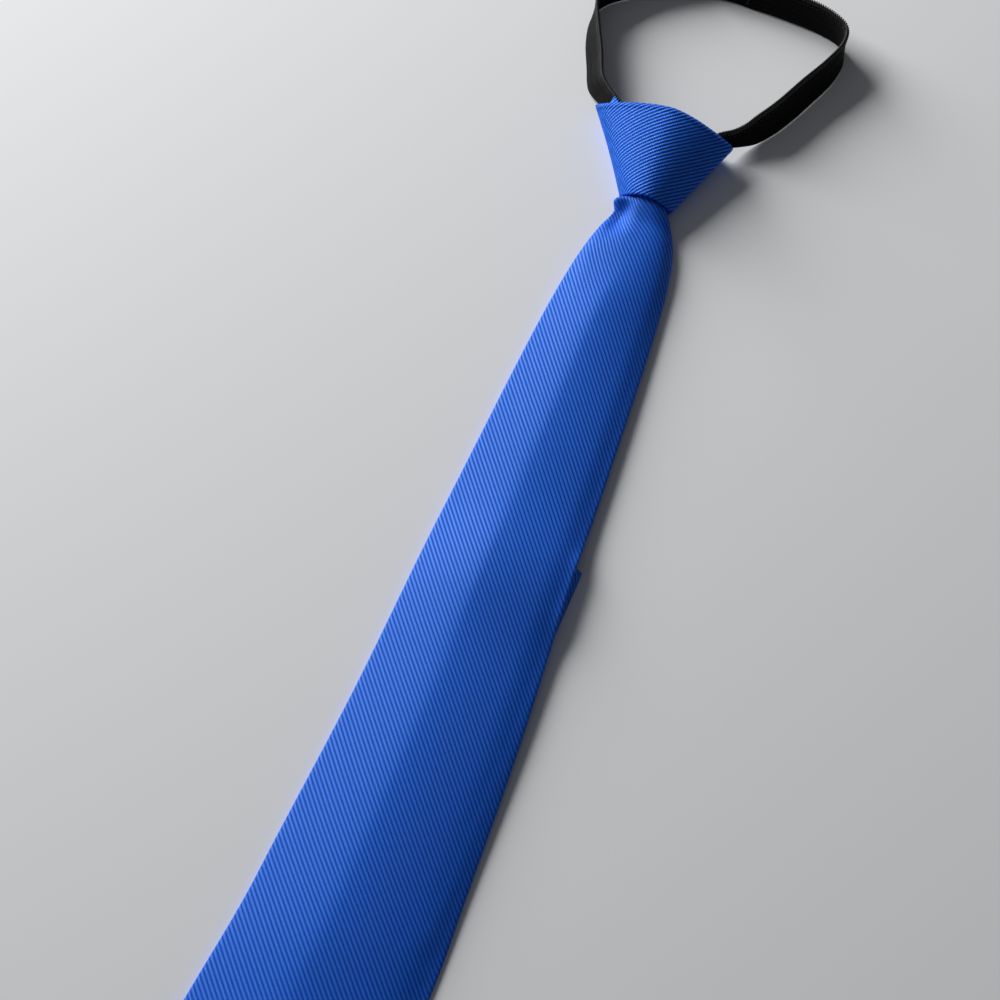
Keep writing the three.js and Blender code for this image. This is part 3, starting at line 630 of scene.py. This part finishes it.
def build_blade():
    """The folded front blade, one cloth wrapped round from a seam at the middle of its back. Over
    its last 60 mm it thins to three quarters and settles onto the surface."""
    flat, angle, flap = wrapped_path(61, 22, 9)
    join = 0.13 * BLADE["pinch"]
    down = np.concatenate([np.linspace(-BLADE["in_knot"], 0, 5), [join / 2],
                           join + np.linspace(0, 30, 31), np.linspace(34.5, 150, 42),
                           np.linspace(152, 214, 32), np.linspace(217, 404, 56),
                           np.linspace(405, 445, 22)])[:, None]
    in_throat = knot_half(-down / KNOT["height"]) - 1.5 * NECK_INSET
    half = np.where(down > 0, blade_half(np.maximum(down, join)), in_throat)
    across = across_of(flat[None], angle[None], half, 0.9)
    low = blade_lines(across, np.maximum(down, join))
    neck = neck_lines(across, np.minimum(down, 0))
    share = np.clip(down / join, 0, 1)
    x, under, face = (mix(a, b, share) for a, b in zip(neck, low))
    face = crowned(face, under, across, down, np.flatnonzero(angle > 1.5)[[0, -1]])
    settled = smooth(down, 385, 442)
    face = mix(face, mix(under, face, 0.72) - 0.8 * under, settled)
    under = under * (1 - 0.8 * settled)
    x, face = folded_lip(x, face, under, across, down)
    lift = flap[None] * 0.75 * smooth(across, -0.35, -0.1)
    z = (face + under) / 2 + np.sin(angle)[None] * (face - under) / 2 + lift
    points = np.stack(np.broadcast_arrays(x, -down, z), -1)
    points[-1] = [points[-1, :, 0].mean(), -BLADE["length"] - 0.4, points[-1, :, 2].mean()]
    round_it = length_along(points, 1)
    front = (angle > 1.5)
    centre = round_it[:, front].mean(1, keepdims=True)
    p = round_it - centre
    drawn_in = mix(BLADE["neck"], BLADE["width"], np.clip(down, 0, 405) / 405) / 2
    drawn_in = np.clip(drawn_in - blade_half(np.maximum(down, 0)), 0, 6.5)
    p = p - 0.9 * drawn_in * smooth(-flat[None], 0.1, 1)
    uv = rib_coordinates(p, np.broadcast_to(down, p.shape))
    blade = surface("blade_cloth", points, uv, turn=True, weld=True)
    dress(blade, tie_cloth, "tie_cloth", "front_blade")
    thicken(blade, CLOTH)
    return blade


def softened(values, places, reach):
    """A line of values blurred along its places by exp(-(distance / reach)^2)."""
    weights = np.exp(-((places[:, None] - places[None]) / reach) ** 2) * np.gradient(places)[None]
    return (weights @ values) / weights.sum(1, keepdims=True)


CREST = ([0, 12, 30, 60, 300, 445], [0.18, 0.16, 0.06, -0.08, -0.10, -0.12])


def crowned(face, under, across, down, folds):
    """The pressed front face: from its crest it falls evenly to the left fold and ever more
    steeply to the right fold, 1 - t^1.25 and 1 - t^1.9 of its height at a share t of the way, and
    the right fold is pressed down by a further millimetre.
    Its crest's height follows what lies under the blade, eased along the blade."""
    line = down[:, 0]
    sides = softened(face[:, folds], line, 14)
    low = np.where(across < 0, sides[:, :1], sides[:, 1:]) + 0.2
    high = softened(face.max(1, keepdims=True), line, 16) + 1.0
    crest = eased(line, *CREST)[:, None]
    t = np.clip(np.abs(across - crest) / np.where(across < crest, 1 + crest, 1 - crest), 0, 1)
    t = np.sqrt(t * t + 0.01) / np.sqrt(1.01)
    form = 1 - np.where(across < crest, t ** 1.25, t ** 1.9)
    form = form / (1 - np.where(across < crest, 0.0995 ** 1.25, 0.0995 ** 1.9))
    whole = low + (high - low) * form
    whole = whole - 1.0 * smooth(across, 0.55, 1.0) ** 2
    clear = under + 1.0
    whole = (whole + clear + np.sqrt((whole - clear) ** 2 + 0.3)) / 2
    return mix(face, whole, smooth(down, 16, 60))


LIP = dict(place=3.3, reach=2.2, out=2.2, up=1.6)
HOLLOW = dict(place=8.0, reach=3.2, out=1.4, down=3.4)


def folded_lip(x, face, under, across, down):
    """The pleat at the left of the neck: a lip stands out just below the knot and throws a hollow
    below it, both dying away from the left fold as a cube and a hump."""
    left = np.clip(-across, 0, 1)
    lip, hollow = (swell(down, part["place"], part["reach"]) for part in (LIP, HOLLOW))
    x = x - (LIP["out"] * lip + HOLLOW["out"] * hollow) * left ** 3
    face = (face + LIP["up"] * lip * swell(across, -0.9, 0.34)
            - HOLLOW["down"] * hollow * swell(across, -1.02, 0.32))
    return x, np.maximum(face, under + 1.1)


RIB_LEAN = ([0, 6, 24, 60, 150, 250, 330, 445], [51.0, 50.0, 37.5, 35.5, 36.5, 39.5, 44.0, 45.0])


def rib_coordinates(across, down):
    """Cloth coordinates turned to the ribs, which run down to the right at an angle that grows
    from 36 to 45 degrees down the blade, and is steeper in the pleats under the knot; across and
    down are in millimetres on the cloth."""
    places = np.linspace(-20, 470, 491)
    lean = np.radians(np.interp(places, *RIB_LEAN))
    fall = np.sin(lean)
    drop = np.concatenate([[0], np.cumsum((fall[1:] + fall[:-1]) / 2)])
    u = across * np.interp(down, places, np.cos(lean)) - np.interp(down, places, drop)
    v = across * math.sin(math.radians(39)) + down * math.cos(math.radians(39))
    return np.stack([u, v], -1)


def build_tail():
    """The narrow tail, wrapped as the blade is and open at the top, where the zip is sewn in."""
    flat, angle, flap = wrapped_path(33, 16, 9)
    down = np.concatenate([np.linspace(0, 40, 27), np.linspace(43, 150, 40),
                           np.linspace(151, TAIL["length"], 14)])[:, None]
    half = tail_half(down)
    across = across_of(flat[None], angle[None], half, 0.7)
    face = mix(tail_depth(down), TAIL["edge"], np.abs(across) ** 8)
    under = np.full_like(face, 0.05)
    lift = flap[None] * 0.7 * smooth(across, -0.35, -0.1)
    z = (face + under) / 2 + np.sin(angle)[None] * (face - under) / 2 + lift
    x = tail_middle(down) + across * half
    points = np.stack(np.broadcast_arrays(x, -TAIL["start"] - down, z), -1)
    points[-1] = points[-1].mean(0)
    points[-1, :, 1] = -TAIL["start"] - TAIL["length"] - 0.3
    round_it = length_along(points, 1)
    p = round_it - round_it[:, angle > 1.5].mean(1, keepdims=True)
    uv = rib_coordinates(p, np.broadcast_to(down + 100, p.shape))
    tail = surface("tail_cloth", points, uv, turn=True, weld=True)
    dress(tail, tie_cloth, "tie_cloth", "tail_blade")
    thicken(tail, CLOTH)
    return tail


# Zip
def closed_rows(side):
    """Rows (x, y, z, width, lean, turn) of a strap's outer edge from the tail up to the knot."""
    end = SLIDER["foot"] + SLIDER["length"]
    post = SLIDER["post"] + 2 * SLIDER["room"]
    tape, part = ZIP["tape"], ZIP["part"]
    rows = [
        (-TAIL["start"] - ZIP["sewn"], IN_TAIL, tape, part),
        (-TAIL["start"], IN_TAIL, tape, part),
        (-TAIL["start"] * 0.94, ON_FLOOR, tape, part),
        (-TAIL["start"] * 0.6, ON_FLOOR, tape, part),
        (-ZIP["spread"], ON_FLOOR, tape, part),
        (-ZIP["settle"] * 0.75, ON_FLOOR, mix(THROAT_TAPE, tape, 0.25), part),
        (-ZIP["settle"] * 0.12, IN_THROAT, THROAT_TAPE, part),
        (SLIDER["foot"] * 0.5, IN_THROAT, THROAT_TAPE, part),
        (SLIDER["foot"] * 0.88, IN_SLIDER, tape * 0.6, part),
        (end - 2 * SLIDER["post_length"], IN_SLIDER, tape * 0.7, part),
        (end - SLIDER["post_length"], IN_SLIDER, tape * 0.7, post),
        (end + 0.6 * SLIDER["post_length"], IN_SLIDER, tape * 0.7, post + 2 * SLIDER["room"]),
    ]
    return [(float(zip_middle(y)) + side * (w + AIR + ZIP["coil"] + p / 2), y, z, w, 0.0, 0.0)
            for y, z, w, p in rows]


# Rows of each side's strap in the knot's mouth: out, up, lift, width, lean, turn
MOUTH = {
    1: [(0.79, 0.89, 0.61, 1.03, 36, 0.5), (0.89, 1.045, 0.58, 0.74, 56, 1),
        (1.036, 1.163, 0.22, 0.80, 66, 1)],
    -1: [(0.69, 0.89, 0.54, 1.16, 40, 0.5), (0.798, 1.045, 0.58, 0.92, 58, 1),
         (0.985, 1.185, 0.24, 1.16, 64, 1)],
}
# Rows round the loop: out and up as shares of its half width and depth, width, lean
ROUND = {
    1: [(0.6, 0.135, 1.0, 70), (0.73, 0.26, 1, 66), (0.876, 0.477, 1, 65), (0.975, 0.66, 1, 72),
        (0.995, 0.8, 1, 84), (0.93, 0.9, 1, 98), (0.77, 0.945, 1, 110), (0.5, 0.972, 1, 117),
        (0.22, 0.989, 1, 118)],
    -1: [(0.765, 0.16, 0.95, 62), (0.86, 0.31, 1, 63), (0.95, 0.47, 1, 66), (0.985, 0.61, 1, 78),
         (0.95, 0.725, 1, 94), (0.8, 0.82, 1, 108), (0.55, 0.92, 1, 115), (0.32, 0.985, 1, 118)],
}


def standing(lean):
    """How high a leaning strap's middle stands, so that its edge rests on the surface."""
    return ZIP["thick"] / 2 * abs(math.cos(math.radians(lean)))


def lap_shift(side, x):
    """At the nape the left strap passes outside the right one, and eases back beside the lap."""
    if side > 0:
        return 0.0
    apart = ZIP["thick"] / 2 + RADIUS + 3 * AIR
    reach = ZIP["lap"] / 2
    return apart * (1 - float(smooth(abs(x - LOOP["centre"]), reach, reach + ZIP["ease"])))


def strap_rows(side):
    """All rows of a strap, from the tail through the knot's mouth and round the loop."""
    rows = closed_rows(side)
    for out, up, lift, room, lean, turn in MOUTH[side]:
        rows.append((float(knot_middle(KNOT["height"] * up)) + side * out * knot_half(min(1, up)),
                     KNOT["height"] * up, lift * KNOT["side"] + standing(lean),
                     room * KNOT["side"], lean, turn))
    for out, up, room, lean in ROUND[side]:
        x = LOOP["centre"] + side * out * LOOP["width"] / 2
        rows.append((x, KNOT["height"] + up * LOOP["depth"] + lap_shift(side, x), standing(lean),
                     room * ZIP["tape"], lean, 1.0))
    reach = ZIP["lap"] / 2
    for off in (side * reach, 0.0, -side * reach):
        rows.append((LOOP["centre"] + off,
                     KNOT["height"] + LOOP["depth"] + lap_shift(side, LOOP["centre"])
                     - ZIP["bow"] * (off / reach) ** 2,
                     standing(ZIP["lean"]), ZIP["tape"], ZIP["lean"], 1.0))
    return np.array(rows)


def curve_through(points, parts):
    """Centripetal Catmull-Rom curve through flat points: the cubic of each span has the slopes
    that the square roots of the distances between its neighbours give. Returns points, slopes
    and how far along the rows each one lies."""
    ends = [2 * points[0] - points[1], *points, 2 * points[-1] - points[-2]]
    p = np.array(ends)
    places, slopes, along = [], [], []
    share = np.linspace(0, 1, parts, endpoint=False)[:, None]
    for i in range(1, len(p) - 2):
        p0, p1, p2, p3 = p[i - 1:i + 3]
        d0, d1, d2 = (max(np.linalg.norm(b - a) ** 0.5, 1e-6) for a, b in ((p0, p1), (p1, p2), (p2, p3)))
        t1 = ((p1 - p0) / d0 - (p2 - p0) / (d0 + d1) + (p2 - p1) / d1) * d1
        t2 = ((p2 - p1) / d1 - (p3 - p1) / (d1 + d2) + (p3 - p2) / d2) * d1
        c2, c3 = -3 * p1 + 3 * p2 - 2 * t1 - t2, 2 * p1 - 2 * p2 + t1 + t2
        places.append(p1 + share * t1 + share ** 2 * c2 + share ** 3 * c3)
        slopes.append(t1 + 2 * share * c2 + 3 * share ** 2 * c3)
        along.append(i - 1 + share[:, 0])
    places.append(p[-2:-1])
    slopes.append(slopes[-1][-1:])
    along.append([len(points) - 1.0])
    return np.concatenate(places), np.concatenate(slopes), np.concatenate(along)


def strap_frame(side, rows, step):
    """Even stations along a strap: its outer edge, the way across it, its face's normal, its
    width and the running length."""
    flat, slope, along = curve_through(rows[:, :2], 40)
    count = np.arange(len(rows))
    z, width, lean, turn = (np.interp(along, count, rows[:, k]) for k in (2, 3, 4, 5))
    place = np.concatenate([flat, z[:, None]], 1)
    run = np.concatenate([[0], np.cumsum(np.linalg.norm(np.diff(place, axis=0), axis=1))])
    even = np.linspace(0, run[-1], int(run[-1] / step) + 1)
    span = int(15 / step)

    def at(values, reach=0.0):
        """Values at the even stations, blurred along the strap by exp(-(distance / reach)^2)."""
        values = np.interp(even, run, values)
        if not reach:
            return values
        kernel = np.exp(-(np.arange(-span, span + 1) * step / reach) ** 2)
        padded = np.concatenate([np.full(span, values[0]), values, np.full(span, values[-1])])
        return np.convolve(padded, kernel / kernel.sum(), "valid")

    place = np.stack([at(place[:, 0]), at(place[:, 1]), at(place[:, 2], 4.0)], 1)
    direction = np.stack([at(slope[:, 0] / np.linalg.norm(slope, axis=1)),
                          at(slope[:, 1] / np.linalg.norm(slope, axis=1)),
                          np.gradient(place[:, 2], even)], 1)
    direction /= np.linalg.norm(direction, axis=1)[:, None]
    angle, turned = np.radians(at(lean, 7.0)), at(turn, 4.0)[:, None]
    square = np.stack([-direction[:, 1] * side, direction[:, 0] * side, np.zeros(len(even))], 1)
    square /= np.linalg.norm(square, axis=1)[:, None]
    inward = mix(np.array([-side, 0.0, 0.0])[None], square, turned)
    inward /= np.linalg.norm(inward, axis=1)[:, None]
    across = inward * np.cos(angle)[:, None] + np.array([0, 0, 1.0])[None] * np.sin(angle)[:, None]
    normal = np.cross(direction, across)
    normal /= np.linalg.norm(normal, axis=1)[:, None]
    return place, across, normal, direction, at(width, 6.0), even


STATION = 1.1
TAPE = dict(seam=1.1, half=0.36, groove=0.26, band=0.10, rolled=0.08)


def build_tape(side, name, node):
    """Woven tape: a thin band with soft edges, a woven groove at a third of its width and a
    raised band where the coil is sewn on. Where it is drawn together it creases lengthwise."""
    place, across, normal, _, width, run = strap_frame(side, strap_rows(side), STATION)
    line = np.concatenate([[0, 0.01, 0.03, 0.07, 0.13, 0.2, 0.26], np.linspace(0.29, 0.41, 9),
                           np.linspace(0.46, 0.7, 6), [0.73, 0.755, 0.78, 0.82, 0.88, 0.94, 0.97, 0.99, 1]])
    count = len(line)
    share = np.concatenate([line, line[::-1]])
    face = np.concatenate([np.ones(count), -np.ones(count)])
    reach = ZIP["tape"] + TAPE["seam"]
    edge = np.minimum(share, 1 - share) * reach
    half = TAPE["half"] * np.sqrt(np.clip(1 - (1 - np.clip(edge / 0.4, 0, 1)) ** 2, 0, 1))
    groove = TAPE["groove"] * swell(share * reach, 0.345 * reach, 0.34)
    band = TAPE["band"] * smooth(share * reach, reach - 3.4, reach - 2.9)
    rolled = TAPE["rolled"] * (1 - smooth(share * reach, 0.7, 1.1))
    height = face * (half - groove + band + rolled)
    wide = (width + TAPE["seam"])[:, None]
    slack = np.sqrt(np.clip(1 - (width / ZIP["tape"]) ** 2, 0, 1))[:, None]
    crease = slack * 0.9 * (np.abs((share * 4) % 2 - 1) - 0.5)[None]
    points = (place[:, None] + across[:, None] * (share[None] * wide)[..., None]
              + normal[:, None] * (height[None] + crease * 0.4)[..., None])
    uv = np.stack(np.broadcast_arrays((share * reach)[None] + 30 * (face < 0)[None], run[:, None]), -1)
    points, uv = points[:, :-1], uv[:, :-1]
    keep = np.r_[0:count, count + 1:2 * count - 1]
    points, uv = points[:, keep], uv[:, keep]
    tape = surface(name, points, uv, round_columns=True)
    close_ends(tape)
    dress(tape, zip_tape, "zip_tape", node)
    return tape


def close_ends(piece):
    """Caps the open ends of a tube and turns its faces outward."""
    work = bmesh.new()
    work.from_mesh(piece.data)
    loops = [edge for edge in work.edges if edge.is_boundary]
    bmesh.ops.holes_fill(work, edges=loops, sides=0)
    bmesh.ops.triangulate(work, faces=[face for face in work.faces if len(face.verts) > 4])
    bmesh.ops.recalc_face_normals(work, faces=work.faces)
    work.to_mesh(piece.data)
    work.free()


COIL = dict(pitch=1.0, steps=10, wide=0.92, high=0.52, thread=0.38, filler=0.6, start=0.3)


def build_coil(side, name, node):
    """A nylon coil: an oval helix wound round the tape's inner edge, one turn a pitch, on a filler
    cord. The two coils start half a pitch apart."""
    rows = strap_rows(side)
    if side < 0:
        start = LOOP["centre"] - ZIP["lap"] / 2 - ZIP["coil"]
        rows = rows[(rows[:, 1] < KNOT["height"]) | (rows[:, 0] < start)]
    place, across, normal, _, width, run = strap_frame(side, rows, 0.1)
    pitch, steps = COIL["pitch"], COIL["steps"]
    turns = int(run[-1] / pitch) - 1
    angle = np.arange(turns * steps + 1) * 2 * np.pi / steps
    at = angle / (2 * np.pi) * pitch + COIL["start"] + (0 if side > 0 else pitch / 2)

    def read(values):
        return np.stack([np.interp(at, run, values[:, k]) for k in range(3)], 1)

    centre = read(place + across * (width + AIR + RADIUS)[:, None])
    wide, high = read(across), read(normal)
    line = (centre + wide * (COIL["wide"] * np.cos(angle))[:, None]
            + high * (COIL["high"] * np.sin(angle))[:, None])
    coil = cord(name, line, COIL["thread"], 6)
    add_to(coil, cord("filler", centre[::steps // 2], COIL["filler"], 8))
    return dress(coil, zip_coil, "zip_coil", node)


def tube_along(line, radius, sides):
    """A round tube along a line: a ring square to the line at each point, kept from twisting by
    measuring it from the line's own bend."""
    tangent = np.gradient(line, axis=0)
    tangent /= np.linalg.norm(tangent, axis=1)[:, None]
    bend = np.gradient(tangent, axis=0)
    bend -= tangent * (bend * tangent).sum(1)[:, None]
    bend /= np.maximum(np.linalg.norm(bend, axis=1), 1e-9)[:, None]
    other = np.cross(tangent, bend)
    angle = np.linspace(0, 2 * np.pi, sides, endpoint=False)
    ring = bend[:, None] * np.cos(angle)[None, :, None] + other[:, None] * np.sin(angle)[None, :, None]
    return line[:, None] + ring * radius


def cord(name, line, radius, sides):
    """A round cord along a line, closed at both ends."""
    points = tube_along(line, radius, sides)
    piece = surface(name, points, np.zeros((*points.shape[:2], 2)), round_columns=True)
    close_ends(piece)
    return piece


# Sewing
def stitches(name, starts, ends, out, width, material, slot):
    """Sewn stitches in one mesh. Each is a thread from a start to an end, as wide as
    width * sqrt(1 - 0.9 t^2) at t from -1 to 1, and half as high as wide, lying on a face that
    looks the way 'out'."""
    starts, ends, out = (np.asarray(line, float) for line in (starts, ends, out))
    t = np.linspace(-1, 1, 5)[None, :, None, None]
    angle = np.linspace(0, 2 * np.pi, 6, endpoint=False)[None, None, :, None]
    along = (ends - starts) / 2
    beside = np.cross(along, out)
    beside /= np.linalg.norm(beside, axis=1)[:, None]
    middle, along, beside, out = (line[:, None, None]
                                  for line in ((starts + ends) / 2, along, beside, out))
    size = width / 2 * np.sqrt(1 - 0.9 * t * t)
    points = (middle + along * t + beside * size * np.cos(angle) + out * size * 0.6 * np.sin(angle))
    first = np.arange(len(starts))[:, None, None, None] * 30
    ring, spoke = np.arange(4)[None, :, None] * 6, np.arange(6)[None, None]
    beyond = (spoke + 1) % 6
    quad = np.stack([ring + spoke, ring + 6 + spoke, ring + 6 + beyond, ring + beyond], -1)
    caps = np.arange(6)[None]
    faces = (first + quad).reshape(-1, 4).tolist()
    faces += (first[:, 0, 0] + caps).tolist() + (first[:, 0, 0] + 24 + caps[:, ::-1]).tolist()
    mesh = bpy.data.meshes.new(name)
    mesh.from_pydata(((points.reshape(-1, 3) + PLACE) * MM).tolist(), [], faces)
    mesh.polygons.foreach_set("use_smooth", np.ones(len(faces), bool))
    piece = bpy.data.objects.new(name, mesh)
    scene.collection.objects.link(piece)
    return dress(piece, material, slot)


def sew_coil(side, name):
    """Two rows of lockstitch on each face of a tape, which hold the coil to its inner edge, on
    the stretch that stands free of the knot."""
    frames = strap_frame(side, strap_rows(side), STATION)
    free = frames[0][:, 1] > KNOT["height"] + 3
    place, across, normal, direction, width = (line[free][::2] for line in frames[:5])
    starts, ends, out = [], [], []
    for face in (1, -1):
        for from_edge in (0.7, 1.9):
            line = place + across * (width + TAPE["seam"] - from_edge)[:, None] + normal * face * 0.47
            starts.append(line - direction * 0.75)
            ends.append(line + direction * 0.75)
            out.append(normal * face)
    stitches(name, *(np.concatenate(v) for v in (starts, ends, out)), 0.34, black_thread, "zip_tape")


def sew_nape():
    """Two zigzag bars across the lapped ends at the nape, on the outer and the inner face."""
    starts, ends, out = [], [], []
    for side, looks in ((-1, 1), (1, -1)):
        place, across, normal, direction, width, _ = strap_frame(side, strap_rows(side), STATION)
        for off in (-6.5, 6.5):
            near = np.argmin(np.abs(place[:, 0] - LOOP["centre"] - off) + 100 * (place[:, 1] < 80))
            face = np.sign(normal[near, 1]) * looks
            climb = np.linspace(1.2, width[near] - 0.4, 15)
            line = (place[near] + across[near] * climb[:, None] + normal[near] * face * 0.5
                    + direction[near] * (0.8 * (-1.0) ** np.arange(15))[:, None])
            starts.append(line[:-1])
            ends.append(line[1:])
            out.append(np.tile(normal[near] * face, (14, 1)))
    stitches("nape_bars", *(np.concatenate(v) for v in (starts, ends, out)), 0.42, black_thread, "zip_tape")


def sew_tail_mouth():
    """A row of stitches across the tail below its mouth, which holds the zip's end in it."""
    across = np.linspace(-0.86, 0.86, 12)
    down = np.full_like(across, 3.2)
    high = mix(tail_depth(down), TAIL["edge"], np.abs(across) ** 8)
    line = np.stack([tail_middle(down) + across * tail_half(down), -TAIL["start"] - down, high + 0.02], 1)
    reach = np.array([0.85, 0.0, 0.0])
    stitches("mouth_stitches", line - reach, line + reach, np.tile([0, 0, 1.0], (12, 1)), 0.5,
             blue_thread, "tie_cloth")


# The tie, put together
build_tail()
build_blade()
build_knot()
build_tape(-1, "tape_left", "zip_tape_left")
build_tape(1, "tape_right", "zip_tape_right")
build_coil(-1, "coil_left", "zip_coil_left")
build_coil(1, "coil_right", "zip_coil_right")
sew_coil(-1, "coil_stitches_left")
sew_coil(1, "coil_stitches_right")
sew_nape()
sew_tail_mouth()

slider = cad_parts["zip_slider"]
slider.data.materials.clear()
slider.data.materials.append(zip_enamel)

# Floor and light
def build_floor():
    """A plain pale floor, a hair below the tie."""
    bpy.ops.mesh.primitive_plane_add(size=6, location=(0, 0, -0.00002))
    floor = bpy.context.object
    floor.name = "floor"
    material, tree, bsdf = nodes_of("floor")
    bsdf.inputs["Base Color"].default_value = (0.93, 0.94, 0.95, 1)
    bsdf.inputs["Roughness"].default_value = 0.8
    floor.data.materials.append(material)


def softbox(name, place, target, size, power):
    """A soft white studio light: a panel at a place, turned to a target."""
    light = bpy.data.lights.new(name, "AREA")
    light.shape = "RECTANGLE"
    light.size, light.size_y = size
    light.energy = power
    lamp = bpy.data.objects.new(name, light)
    lamp.location = place
    aim = Vector(target) - Vector(place)
    lamp.rotation_euler = aim.to_track_quat("-Z", "Y").to_euler()
    scene.collection.objects.link(lamp)


build_floor()
softbox("key", place=(-1.66, 1.02, 0.74), target=(0, 0.02, 0), size=(1.3, 1.1), power=66)
world = bpy.data.worlds.new("studio")
world.use_nodes = True
world.node_tree.nodes["Background"].inputs[0].default_value = (0.9, 0.94, 1.0, 1)
world.node_tree.nodes["Background"].inputs[1].default_value = 0.08
scene.world = world
scene.view_settings.view_transform = "Standard"

bpy.context.view_layer.update()
